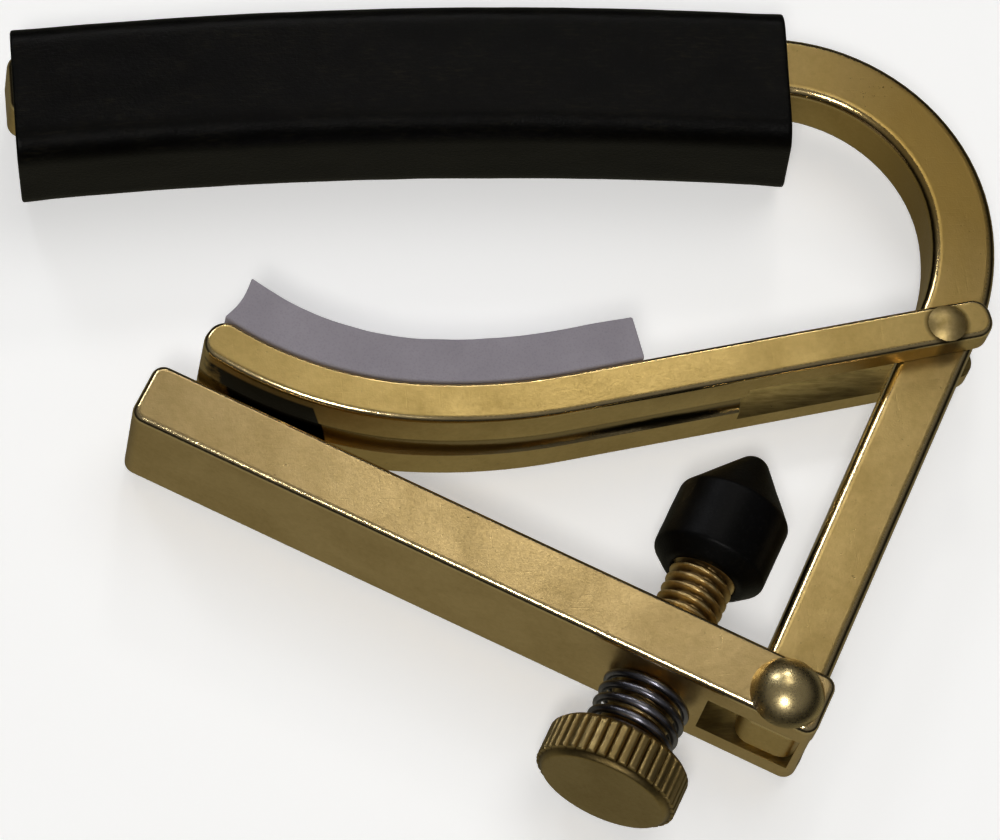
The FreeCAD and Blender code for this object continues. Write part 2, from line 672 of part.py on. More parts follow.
tie_span(cap_profile, "DistanceY", 2, size("cap_shoulder") - size("cap_skirt"),
         "sizes.cap_shoulder - sizes.cap_skirt")
turned = cap.newObject("PartDesign::Revolution", "cap_turned")
turned.Profile = cap_profile
turned.ReferenceAxis = (cap_profile, ["V_Axis"])
turned.Angle = 360
doc.recompute()
place_at(cap, *AT_SCREW, rotation=SCREW_TURN)

# ---------------------------------------------------------------- spring between knob and lever
wire = size("spring_wire")
spring_low = inner + wire + 0.04
spring_high = low - wire - 0.04
helix = doc.addObject("Part::Helix", "spring_path")
helix.setExpression("Radius", "sizes.spring_radius")
helix.Height = spring_high - spring_low
helix.Pitch = (spring_high - spring_low) / size("spring_turns")
helix.SegmentLength = 0.5
section = doc.addObject("Part::Circle", "spring_section")
section.setExpression("Radius", "sizes.spring_wire")
section.Placement = FreeCAD.Placement(V(size("spring_radius"), 0, 0), FreeCAD.Rotation(V(1, 0, 0), 90))
doc.recompute()
spring = doc.addObject("Part::Sweep", "screw_spring")
spring.Label = "screw_spring"
spring.Sections = [section]
spring.Spine = (helix, [])
spring.Solid = True
spring.Frenet = False
doc.recompute()
screw_x = lower_pivot.x + size("datum_x") - size("screw_offset") * math.cos(math.radians(size("lever_angle")))
screw_y = lower_pivot.y + size("datum_y") - size("screw_offset") * math.sin(math.radians(size("lever_angle")))
screw_line = SCREW_TURN.multVec(V(0, 0, 1))
spring.Placement = FreeCAD.Placement(V(screw_x, screw_y, size("datum_z")) + screw_line * spring_low, SCREW_TURN)
doc.recompute()

# ---------------------------------------------------------------- check and write
NODES = ["frame_bar", "bar_sleeve", "clamp_arm", "arm_pad", "lever", "upper_rivet", "lower_rivet",
         "adjusting_screw", "screw_tip_cap", "screw_spring"]
doc.recompute()
for obj in doc.Objects:
    if "Invalid" in obj.State or "Error" in obj.State:
        raise RuntimeError("%s is %s" % (obj.Name, obj.State))
os.makedirs("parts", exist_ok=True)
whole = FreeCAD.BoundBox()
for label in NODES:
    obj = doc.getObjectsByLabel(label)[0]
    shape = obj.Shape
    if shape.isNull() or not shape.isValid() or not shape.Solids:
        raise RuntimeError("%s has no valid shape" % label)
    shape.exportStep("parts/%s.step" % label)
    box = shape.optimalBoundingBox() if hasattr(shape, "optimalBoundingBox") else shape.BoundBox
    whole.add(box)
    print("%-16s solids %d  volume %8.2f  x %7.2f %7.2f  y %7.2f %7.2f  z %6.2f %6.2f" % (
        label, len(shape.Solids), shape.Volume, box.XMin, box.XMax, box.YMin, box.YMax, box.ZMin, box.ZMax))
print("whole  x %.3f %.3f  y %.3f %.3f  z %.3f %.3f" % (
    whole.XMin, whole.XMax, whole.YMin, whole.YMax, whole.ZMin, whole.ZMax))
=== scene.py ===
import math

import bmesh
import bpy
import numpy as np
from mathutils import Matrix, Vector, noise


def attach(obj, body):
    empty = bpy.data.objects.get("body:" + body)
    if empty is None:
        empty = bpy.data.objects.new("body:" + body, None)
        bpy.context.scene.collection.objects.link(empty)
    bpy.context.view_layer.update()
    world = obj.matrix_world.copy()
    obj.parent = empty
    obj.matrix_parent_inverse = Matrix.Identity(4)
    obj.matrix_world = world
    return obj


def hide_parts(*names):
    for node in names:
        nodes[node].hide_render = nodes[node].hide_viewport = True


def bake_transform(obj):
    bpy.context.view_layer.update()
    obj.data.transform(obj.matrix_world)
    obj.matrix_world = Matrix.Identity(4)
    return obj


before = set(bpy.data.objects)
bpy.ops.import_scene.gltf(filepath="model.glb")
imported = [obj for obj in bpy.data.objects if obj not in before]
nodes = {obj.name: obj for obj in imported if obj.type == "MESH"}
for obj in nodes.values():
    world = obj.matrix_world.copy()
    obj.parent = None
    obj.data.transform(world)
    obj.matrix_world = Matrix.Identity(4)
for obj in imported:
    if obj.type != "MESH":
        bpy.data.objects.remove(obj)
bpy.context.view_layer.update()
scene = bpy.context.scene
MM = 0.001

# ------------------------------------------------------------------ places shared with the CAD, in millimetres
DATUM = Vector((-2.275, -0.667, 5.194))
LEVER_ANGLE = math.radians(-30.0)
LOWER_PIVOT = Vector((17.032, -23.66, 0.0)) + DATUM
LEVER_ALONG = Vector((math.cos(LEVER_ANGLE), math.sin(LEVER_ANGLE), 0.0))
SCREW_AXIS = Vector((-math.sin(LEVER_ANGLE), math.cos(LEVER_ANGLE), 0.0))
SCREW_FROM_PIVOT = 8.71
SCREW_ORIGIN = LOWER_PIVOT - LEVER_ALONG * SCREW_FROM_PIVOT
SCREW_PITCH = 0.794
UPPER_PIVOT = Vector((32.6, 4.25, 0.0)) + DATUM
LEVER_HIGH, LEVER_DEEP = 2.67, 4.76
LEVER_LOW = LEVER_HIGH - LEVER_DEEP
MID_HEIGHT = DATUM.z * MM

BEND_CENTRE = Vector((22.3, 13.85, 0.0))
ARCH_RADIUS = 335.0
BEND_RADIUS = 15.75
BAR = 4.76
ARCH_TOP = (-4.9, 30.75)
ARCH_AIM = Vector((ARCH_TOP[0], ARCH_TOP[1] - ARCH_RADIUS, 0.0))
ARCH_CENTRE = BEND_CENTRE - (BEND_CENTRE - ARCH_AIM).normalized() * (ARCH_RADIUS - BEND_RADIUS)


# ------------------------------------------------------------------ mesh helpers
def new_object(name, verts, faces, smooth=True, uvs=None):
    mesh = bpy.data.meshes.new(name)
    mesh.from_pydata([tuple(v) for v in verts], [], faces)
    mesh.validate()
    if uvs is not None:
        layer = mesh.uv_layers.new(name="UVMap")
        for loop in mesh.loops:
            layer.data[loop.index].uv = uvs[loop.vertex_index]
    mesh.polygons.foreach_set("use_smooth", [smooth] * len(mesh.polygons))
    mesh.update()
    obj = bpy.data.objects.new(name, mesh)
    scene.collection.objects.link(obj)
    return obj


def fix_normals(obj):
    bm = bmesh.new()
    bm.from_mesh(obj.data)
    bmesh.ops.recalc_face_normals(bm, faces=bm.faces)
    bm.to_mesh(obj.data)
    bm.free()
    obj.data.update()


def sharp_by_angle(obj, degrees):
    """Marks the edges sharper than an angle, so that the shading breaks there."""
    bm = bmesh.new()
    bm.from_mesh(obj.data)
    limit = math.radians(degrees)
    for edge in bm.edges:
        if len(edge.link_faces) == 2:
            edge.smooth = edge.calc_face_angle(0.0) < limit
    bm.to_mesh(obj.data)
    bm.free()


def from_screw(r, turn, s):
    """A point of the screw's own frame (radius, angle, distance along the axis) in metres."""
    flat = LEVER_ALONG * (r * math.cos(turn)) + Vector((0, 0, 1)) * (r * math.sin(turn))
    return (SCREW_ORIGIN + flat + SCREW_AXIS * s) * MM


def lathe(name, profile, around, radius_of=None):
    """Turns a profile of (radius, distance) rows about the screw axis. Rows at radius 0 close the ends.
    radius_of(radius, angle, distance, row) can change each point's radius."""
    verts, faces, rings = [], [], []
    for row, (r, s) in enumerate(profile):
        if r <= 1e-9:
            rings.append([len(verts)])
            verts.append(from_screw(0.0, 0.0, s))
            continue
        ring = []
        for k in range(around):
            turn = 2 * math.pi * k / around
            radius = radius_of(r, turn, s, row) if radius_of else r
            ring.append(len(verts))
            verts.append(from_screw(radius, turn, s))
        rings.append(ring)
    for a, b in zip(rings, rings[1:]):
        for k in range(around):
            n = (k + 1) % around
            if len(a) == 1 and len(b) == 1:
                continue
            if len(a) == 1:
                faces.append((a[0], b[k], b[n]))
            elif len(b) == 1:
                faces.append((a[k], b[0], a[n]))
            else:
                faces.append((a[k], b[k], b[n], a[n]))
    obj = new_object(name, verts, faces)
    fix_normals(obj)
    return obj


def rounded_profile(points, radius, steps=5):
    """Rounds the inner corners of a (radius, distance) outline."""
    out = [points[0]]
    for before, here, after in zip(points, points[1:], points[2:]):
        p, a, b = Vector(here), Vector(before), Vector(after)
        to_a, to_b = (a - p), (b - p)
        r = min(radius, to_a.length * 0.45, to_b.length * 0.45)
        start, end = p + to_a.normalized() * r, p + to_b.normalized() * r
        for k in range(steps + 1):
            t = k / steps
            q = start * (1 - t) ** 2 + p * (2 * t * (1 - t)) + end * t ** 2
            out.append((q.x, q.y))
    out.append(points[-1])
    return out


def subdivided(profile, step):
    """Adds rows to a profile so that none is further than step from the next."""
    out = [profile[0]]
    for (r0, s0), (r1, s1) in zip(profile, profile[1:]):
        count = max(1, math.ceil(math.hypot(r1 - r0, s1 - s0) / step))
        for k in range(1, count + 1):
            t = k / count
            out.append((r0 + (r1 - r0) * t, s0 + (s1 - s0) * t))
    return out


def smoothstep(a, b, x):
    t = max(0.0, min(1.0, (x - a) / (b - a)))
    return t * t * (3 - 2 * t)


def wobble(point, scale, seed):
    """Signed smooth noise at a point in millimetres."""
    return noise.noise(Vector(point) / scale + Vector((seed, seed * 1.7, seed * 0.3)))


# ------------------------------------------------------------------ node helpers
class Shader:
    """A small builder for one material's node tree."""

    def __init__(self, name):
        self.mat = bpy.data.materials.new(name)
        self.mat.use_nodes = True
        self.tree = self.mat.node_tree
        self.tree.nodes.clear()
        self.out = self.add("ShaderNodeOutputMaterial")
        self.bsdf = self.add("ShaderNodeBsdfPrincipled")
        self.link(self.bsdf.outputs["BSDF"], self.out.inputs["Surface"])

    def add(self, kind, **settings):
        node = self.tree.nodes.new(kind)
        for key, value in settings.items():
            setattr(node, key, value)
        return node

    def link(self, a, b):
        self.tree.links.new(a, b)

    def put(self, socket, value):
        if hasattr(value, "is_output"):
            self.link(value, socket)
        else:
            socket.default_value = value

    def coords(self, which="Object", scale=(1, 1, 1), turn=(0, 0, 0)):
        base = self.add("ShaderNodeTexCoord").outputs[which]
        mapping = self.add("ShaderNodeMapping")
        self.link(base, mapping.inputs["Vector"])
        mapping.inputs["Scale"].default_value = scale
        mapping.inputs["Rotation"].default_value = [math.radians(a) for a in turn]
        return mapping.outputs["Vector"]

    def noise(self, vector, scale, detail=3.0, rough=0.5, distortion=0.0):
        node = self.add("ShaderNodeTexNoise")
        self.link(vector, node.inputs["Vector"])
        node.inputs["Scale"].default_value = scale
        node.inputs["Detail"].default_value = detail
        node.inputs["Roughness"].default_value = rough
        node.inputs["Distortion"].default_value = distortion
        return node.outputs["Fac"]

    def voronoi(self, vector, scale, feature="F1"):
        node = self.add("ShaderNodeTexVoronoi", feature=feature)
        self.link(vector, node.inputs["Vector"])
        node.inputs["Scale"].default_value = scale
        return node.outputs["Distance"]

    def remap(self, value, a, b, c=0.0, d=1.0):
        node = self.add("ShaderNodeMapRange", clamp=True)
        self.link(value, node.inputs["Value"])
        for key, v in zip(("From Min", "From Max", "To Min", "To Max"), (a, b, c, d)):
            node.inputs[key].default_value = v
        return node.outputs["Result"]

    def math(self, op, a, b=0.5):
        node = self.add("ShaderNodeMath", operation=op)
        self.put(node.inputs[0], a)
        self.put(node.inputs[1], b)
        return node.outputs[0]

    def mix(self, factor, a, b, blend="MIX"):
        node = self.add("ShaderNodeMix", data_type="RGBA", blend_type=blend)
        self.put(node.inputs["Factor"], factor)
        self.put(node.inputs[6], a)
        self.put(node.inputs[7], b)
        return node.outputs[2]

    def bump(self, height, distance, strength=1.0, under=None):
        node = self.add("ShaderNodeBump")
        node.inputs["Strength"].default_value = strength
        node.inputs["Distance"].default_value = distance
        self.link(height, node.inputs["Height"])
        if under is not None:
            self.link(under, node.inputs["Normal"])
        return node.outputs["Normal"]

    def split(self, vector):
        node = self.add("ShaderNodeSeparateXYZ")
        self.link(vector, node.inputs[0])
        return node.outputs

    def normal_along(self, axis):
        """How far the surface faces along an axis, from -1 to 1."""
        geometry = self.add("ShaderNodeNewGeometry")
        dot = self.add("ShaderNodeVectorMath", operation="DOT_PRODUCT")
        self.link(geometry.outputs["Normal"], dot.inputs[0])
        dot.inputs[1].default_value = axis
        return dot.outputs["Value"]


RUBBED_EDGE = (0.98, 0.80, 0.47, 1)
# colours of the painted shade on the slot walls, with saw-line streaks
SLOT_SHADE_LIGHT, SLOT_SHADE_DARK = (0.33, 0.25, 0.09, 1), (0.20, 0.145, 0.05, 1)
PIT_SHADE = 0.42
SLOT_SHADE_HALF, SLOT_SHADE_FADE = 0.0026, 0.0001


def brass(name, light, dark, rough, grain=1.0, mottle=1.0, rim=0.2, marks=None, shaded_slots=False):
    """Tumbled brass: two tones in soft patches, a fine blasted grain, hair scratches and small pits.
    rim is how much smoother the rounded edges are rubbed. marks(shader, colour) can change the colour in
    places, painted shade included. shaded_slots paints shade on the walls of the slots near the middle height:
    darker brass with saw-line streaks."""
    s = Shader(name)
    here = s.coords()
    patches = s.remap(s.noise(here, 210, detail=4, rough=0.55, distortion=0.4), 0.36, 0.66)
    flecks = s.remap(s.noise(here, 2300, detail=3, rough=0.6), 0.35, 0.68)
    broad, small = s.math("MULTIPLY", patches, 0.62 * mottle), s.math("MULTIPLY", flecks, 0.38 * mottle)
    tone = s.math("ADD", broad, small)
    colour = s.mix(tone, (*light, 1), (*dark, 1))
    pits = s.remap(s.voronoi(s.coords(scale=(1, 1.3, 1)), 1500), 0.0, 0.16, 1.0, 0.0)
    few = s.remap(s.noise(here, 700, detail=2), 0.56, 0.66)
    pits = s.math("MULTIPLY", pits, few)
    stain = tuple(c * PIT_SHADE for c in dark)
    colour = s.mix(s.math("MULTIPLY", pits, 0.55), colour, (*stain, 1))

    level = s.math("ABSOLUTE", s.normal_along((0, 0, 1)), 0.0)
    on_rim = s.math("MULTIPLY", s.remap(level, 0.08, 0.25), s.remap(level, 0.93, 0.99, 1.0, 0.0))
    if rim > 0:
        colour = s.mix(s.math("MULTIPLY", on_rim, 0.6), colour, RUBBED_EDGE)
    # painted shade: the slot walls near the middle height get darker brass, with saw-line streaks in it
    if shaded_slots:
        depth = s.math("ABSOLUTE", s.math("SUBTRACT", s.split(here)["Z"], MID_HEIGHT), 0.0)
        near = s.remap(depth, SLOT_SHADE_HALF, SLOT_SHADE_HALF + SLOT_SHADE_FADE, 1.0, 0.0)
        slot_shade = s.math("MULTIPLY", near, s.remap(level, 0.7, 0.9))
        drawn_out = s.coords(scale=(0.15, 1, 1), turn=(0, 0, -9))
        saw_lines = s.remap(s.noise(drawn_out, 3500, detail=3, rough=0.6), 0.35, 0.65)
        colour = s.mix(slot_shade, colour, s.mix(saw_lines, SLOT_SHADE_LIGHT, SLOT_SHADE_DARK))
    if marks:
        colour = marks(s, colour)
    s.link(colour, s.bsdf.inputs["Base Color"])
    s.bsdf.inputs["Metallic"].default_value = 1.0

    hair_a = s.noise(s.coords(scale=(0.06, 1, 1), turn=(0, 0, 28)), 5200, detail=2, rough=0.6)
    hair_b = s.noise(s.coords(scale=(1, 0.05, 1), turn=(0, 0, 12)), 4300, detail=2, rough=0.6)
    hair = s.math("MAXIMUM", s.remap(hair_a, 0.62, 0.74), s.remap(hair_b, 0.64, 0.76))
    fine = s.noise(here, 7500, detail=2, rough=0.6)
    roughness = s.math("ADD", s.remap(fine, 0.3, 0.7, rough - 0.05, rough + 0.07),
                       s.math("MULTIPLY", patches, 0.06))
    roughness = s.math("SUBTRACT", roughness, s.math("MULTIPLY", hair, 0.05))
    roughness = s.math("SUBTRACT", roughness, s.math("MULTIPLY", on_rim, rim))
    s.link(roughness, s.bsdf.inputs["Roughness"])

    soft = s.bump(s.noise(here, 330, detail=3), 0.06 * MM, 0.5)
    grainy = s.bump(fine, 0.012 * MM * grain, 0.55, soft)
    scratched = s.bump(s.math("SUBTRACT", 1.0, hair), 0.008 * MM, 0.35, grainy)
    s.link(s.bump(s.math("SUBTRACT", 1.0, pits), 0.03 * MM, 0.5, scratched), s.bsdf.inputs["Normal"])
    return s.mat


def give(obj, material):
    if obj.data.materials:
        for k in range(len(obj.data.materials)):
            obj.data.materials[k] = material
    else:
        obj.data.materials.append(material)


# ------------------------------------------------------------------ materials
BEND_BROWN_AT, BEND_BROWN = (0.0355, 0.0190), (0.50, 0.325, 0.085, 1)
PATCH_LEFT, PATCH_RIGHT, PATCH_TOP, PATCH_LEAN = -0.0222, -0.01375, 0.0085, 0.28
GAP_SHADE_BLACK, GROOVE_SHADE, RIVET_RING_SHADE = (0.004, 0.0035, 0.003, 1), (0.13, 0.085, 0.03, 1), (0.10, 0.065, 0.02, 1)
KNOB_DULL, THREAD_ROOT_SHADE, KNURL_GROOVE_SHADE = (0.33, 0.235, 0.085, 1), (0.10, 0.055, 0.02, 1), (0.08, 0.05, 0.018, 1)


def distance_from(s, a, b):
    """The length of the line across two offsets."""
    return s.math("SQRT", s.math("ADD", s.math("MULTIPLY", a, a), s.math("MULTIPLY", b, b)), 0.0)


def bend_browning(s, colour):
    """Browner, darker colour in a soft round patch on the outer part of the bend."""
    place = s.split(s.coords())
    dx = s.math("SUBTRACT", place["X"], BEND_BROWN_AT[0])
    dy = s.math("SUBTRACT", place["Y"], BEND_BROWN_AT[1])
    return s.mix(s.remap(distance_from(s, dx, dy), 0.006, 0.017, 0.85, 0.0), colour, BEND_BROWN)


def arm_painted_shade(s, colour):
    """Painted shade: darker colour along the arm's underside groove and in a ring round the rivet, and a black
    patch of painted shade under its free end, ragged at the tip.
    """
    place = s.split(s.coords())
    ragged = s.math("MULTIPLY", s.remap(s.noise(s.coords(), 900, detail=4, rough=0.7), 0.3, 0.7), 0.0014)
    x = s.math("ADD", place["X"], s.math("MULTIPLY", place["Z"], PATCH_LEAN))
    left = s.remap(s.math("SUBTRACT", x, ragged), PATCH_LEFT, PATCH_LEFT + 0.0012)
    right = s.remap(x, PATCH_RIGHT, PATCH_RIGHT + 0.0001, 1.0, 0.0)
    top = s.remap(place["Z"], PATCH_TOP, PATCH_TOP + 0.0003, 1.0, 0.0)
    below = s.remap(s.normal_along((0, 1, 0)), -0.45, -0.30, 1.0, 0.0)
    # painted shade along the underside groove, near the middle height
    off_middle = s.math("ABSOLUTE", s.math("SUBTRACT", place["Z"], MID_HEIGHT), 0.0)
    groove = s.math("MULTIPLY", s.remap(off_middle, 0.0009, 0.0014, 0.62, 0.0), below)
    colour = s.mix(groove, colour, GROOVE_SHADE)
    # painted shade in a ring round the rivet
    dx = s.math("SUBTRACT", place["X"], UPPER_PIVOT.x * MM)
    dy = s.math("SUBTRACT", place["Y"], UPPER_PIVOT.y * MM)
    colour = s.mix(s.remap(distance_from(s, dx, dy), 0.00148, 0.00178, 0.85, 0.0), colour, RIVET_RING_SHADE)
    # painted shade: a black patch under the free end, for the dark gap between arm and lever
    mask = s.math("MULTIPLY", s.math("MULTIPLY", left, right), s.math("MULTIPLY", top, below))
    return s.mix(mask, colour, GAP_SHADE_BLACK)


def screw_tone_and_groove_shade(s, colour):
    """Duller metal on the knob than on the thread, and painted shade in the thread's roots and the knurl's
    grooves.
    """
    place = s.split(s.coords())

    def measured(axis):
        """The distance from the screw's origin along an axis."""
        far = s.math("ADD", s.math("MULTIPLY", place["X"], axis.x), s.math("MULTIPLY", place["Y"], axis.y))
        return s.math("SUBTRACT", far, SCREW_ORIGIN.dot(axis) * MM)

    radial = distance_from(s, measured(LEVER_ALONG), s.math("SUBTRACT", place["Z"], MID_HEIGHT))
    on_knob = s.remap(measured(SCREW_AXIS), -0.0073, -0.0070, 1.0, 0.0)
    colour = s.mix(s.math("MULTIPLY", on_knob, 0.75), colour, KNOB_DULL)
    off_knob = s.math("SUBTRACT", 1.0, on_knob)
    # painted shade in the thread's roots
    root = s.math("MULTIPLY", s.remap(radial, 0.00195, 0.00228, 0.85, 0.0), off_knob)
    colour = s.mix(root, colour, THREAD_ROOT_SHADE)
    # painted shade in the knurl's grooves
    groove = s.math("MULTIPLY", s.remap(radial, 0.00492, 0.00512, 0.75, 0.0), s.remap(radial, 0.0047, 0.0049))
    return s.mix(s.math("MULTIPLY", groove, on_knob), colour, KNURL_GROOVE_SHADE)


brass_frame = brass("brass_frame", light=(0.79, 0.575, 0.235), dark=(0.61, 0.43, 0.15), rough=0.33,
                    marks=bend_browning)
brass_lever = brass("brass_lever", light=(0.81, 0.60, 0.285), dark=(0.65, 0.47, 0.20), rough=0.33, shaded_slots=True)
brass_arm = brass("brass_arm", light=(0.76, 0.555, 0.215), dark=(0.60, 0.425, 0.145), rough=0.33,
                  marks=arm_painted_shade, shaded_slots=True)
brass_pins = brass("brass_pins", light=(0.94, 0.76, 0.40), dark=(0.80, 0.62, 0.29), rough=0.27, grain=0.3,
                   rim=0.0)
brass_button = brass("brass_button", light=(0.80, 0.62, 0.30), dark=(0.52, 0.38, 0.14), rough=0.46, mottle=1.3,
                     rim=0.0)
brass_screw = brass("brass_screw", light=(0.88, 0.67, 0.32), dark=(0.60, 0.43, 0.17), rough=0.36, grain=2.5,
                    mottle=1.3, rim=0.0, marks=screw_tone_and_groove_shade)


RUBBER_DEEP, RUBBER_BLACK = (0.0006, 0.0006, 0.0006, 1), (0.0016, 0.0015, 0.0012, 1)
RUBBER_SCUFF, RUBBER_DUST = (0.020, 0.017, 0.008, 1), (0.009, 0.009, 0.009, 1)
PAD_DARK, PAD_LIGHT = (0.345, 0.318, 0.361, 1), (0.385, 0.355, 0.402, 1)
PAD_CELL, PAD_FLECK = (0.21, 0.195, 0.232, 1), (0.345, 0.325, 0.372, 1)
CAP_DEEP, CAP_BLACK = (0.0008, 0.0008, 0.0008, 1), (0.0020, 0.0020, 0.0022, 1)
CAP_DUST = (0.016, 0.016, 0.016, 1)
STEEL_LIGHT, STEEL_DARK, STEEL_LINE = (0.30, 0.30, 0.36, 1), (0.14, 0.14, 0.17, 1), (0.045, 0.042, 0.04, 1)


def rubber():
    """Dull black rubber tube with grey-olive scuffs drawn along its length and a fine moulded grain."""
    s = Shader("sleeve_rubber")
    streak = s.noise(s.coords("UV", scale=(9, 160, 1)), 1.0, detail=4, rough=0.6, distortion=0.2)
    broad = s.noise(s.coords("UV", scale=(2.2, 12, 1)), 1.0, detail=3, rough=0.55, distortion=0.3)
    dust = s.noise(s.coords(), 5200, detail=2, rough=0.6)
    scuff = s.math("MULTIPLY", s.remap(streak, 0.48, 0.75), s.remap(broad, 0.42, 0.68))
    base = s.mix(s.remap(broad, 0.3, 0.7), RUBBER_DEEP, RUBBER_BLACK)
    base = s.mix(s.math("MULTIPLY", scuff, 0.55), base, RUBBER_SCUFF)
    base = s.mix(s.remap(dust, 0.58, 0.75, 0.0, 0.35), base, RUBBER_DUST)
    s.link(base, s.bsdf.inputs["Base Color"])
    s.link(s.remap(s.math("ADD", dust, scuff), 0.3, 1.2, 0.34, 0.50), s.bsdf.inputs["Roughness"])
    s.bsdf.inputs["Specular IOR Level"].default_value = 0.115
    grain = s.bump(s.noise(s.coords(), 4200, detail=3, rough=0.65), 0.04 * MM, 0.6)
    drawn = s.noise(s.coords("UV", scale=(14, 420, 1)), 1.0, detail=2, rough=0.6)
    s.link(s.bump(drawn, 0.03 * MM, 0.4, grain), s.bsdf.inputs["Normal"])
    return s.mat


def pad_foam():
    """Grey-violet closed-cell rubber with a fine skin."""
    s = Shader("pad_rubber")
    here = s.coords()
    patches = s.noise(here, 240, detail=3, rough=0.55)
    cells = s.voronoi(here, 5200)
    fine = s.noise(here, 6000, detail=2, rough=0.6)
    base = s.mix(s.remap(patches, 0.35, 0.65), PAD_DARK, PAD_LIGHT)
    base = s.mix(s.remap(cells, 0.0, 0.5, 0.30, 0.0), base, PAD_CELL)
    base = s.mix(s.remap(fine, 0.55, 0.75, 0.0, 0.3), base, PAD_FLECK)
    s.link(base, s.bsdf.inputs["Base Color"])
    s.link(s.remap(fine, 0.3, 0.7, 0.72, 0.86), s.bsdf.inputs["Roughness"])
    s.bsdf.inputs["Specular IOR Level"].default_value = 0.25
    grain = s.bump(cells, 0.03 * MM, 0.5)
    s.link(s.bump(fine, 0.03 * MM, 0.5, grain), s.bsdf.inputs["Normal"])
    return s.mat


def cap_plastic():
    """Matte black moulded plastic, faintly dusty and finely grained."""
    s = Shader("cap_plastic")
    here = s.coords()
    patches = s.noise(here, 420, detail=3, rough=0.55)
    fine = s.noise(here, 5200, detail=3, rough=0.65)
    base = s.mix(s.remap(patches, 0.35, 0.7), CAP_DEEP, CAP_BLACK)
    base = s.mix(s.remap(fine, 0.56, 0.75, 0.0, 0.4), base, CAP_DUST)
    s.link(base, s.bsdf.inputs["Base Color"])
    s.link(s.remap(fine, 0.3, 0.7, 0.36, 0.52), s.bsdf.inputs["Roughness"])
    s.bsdf.inputs["Specular IOR Level"].default_value = 0.12
    soft = s.bump(patches, 0.06 * MM, 0.4)
    s.link(s.bump(fine, 0.03 * MM, 0.5, soft), s.bsdf.inputs["Normal"])
    return s.mat


def spring_steel():
    """Bright drawn steel wire with drawing lines and a blue-grey cast."""
    s = Shader("spring_wire_steel")
    here = s.coords()
    lines = s.noise(s.coords("UV", scale=(3, 60, 1)), 1.0, detail=3, rough=0.6)
    patches = s.noise(here, 900, detail=3, rough=0.55)
    colour = s.mix(s.remap(patches, 0.35, 0.68), STEEL_LIGHT, STEEL_DARK)
    colour = s.mix(s.remap(lines, 0.5, 0.75, 0.0, 0.5), colour, STEEL_LINE)
    s.link(colour, s.bsdf.inputs["Base Color"])
    s.bsdf.inputs["Metallic"].default_value = 1.0
    s.link(s.remap(lines, 0.3, 0.7, 0.22, 0.36), s.bsdf.inputs["Roughness"])
    s.link(s.bump(lines, 0.01 * MM, 0.5), s.bsdf.inputs["Normal"])
    return s.mat


give(nodes["frame_bar"], brass_frame)
give(nodes["lever"], brass_lever)
give(nodes["clamp_arm"], brass_arm)
give(nodes["upper_rivet"], brass_button)
give(nodes["lower_rivet"], brass_pins)


# ------------------------------------------------------------------ rubber sleeve
def arch_point(radius, x, z):
    """The point of a circle about the arch's centre at that x of the string bar's own frame, in metres."""
    along = (x - ARCH_CENTRE.x) / radius
    y = ARCH_CENTRE.y + radius * math.sqrt(1 - along * along)
    return (Vector((x, y, z)) + DATUM) * MM


SLEEVE_OVER, SLEEVE_UNDER, SLEEVE_WIDTH = 1.42, 4.86, 9.0
SLEEVE_LEFT_TOP, SLEEVE_LEFT_LOW, SLEEVE_RIGHT_TOP, SLEEVE_RIGHT_LOW = -33.35, -33.45, 24.05, 23.3
SLEEVE_SKEW, SLEEVE_UNDER_LEAN, SLEEVE_CORNER, SLEEVE_LIP = 0.9, 0.2, 2.0, 0.22
SLEEVE_SWELL, SLEEVE_SWELL_REACH = 0.05, 2.5
WAY_CLEARANCE, WAY_DEPTH = 0.03, 2.0


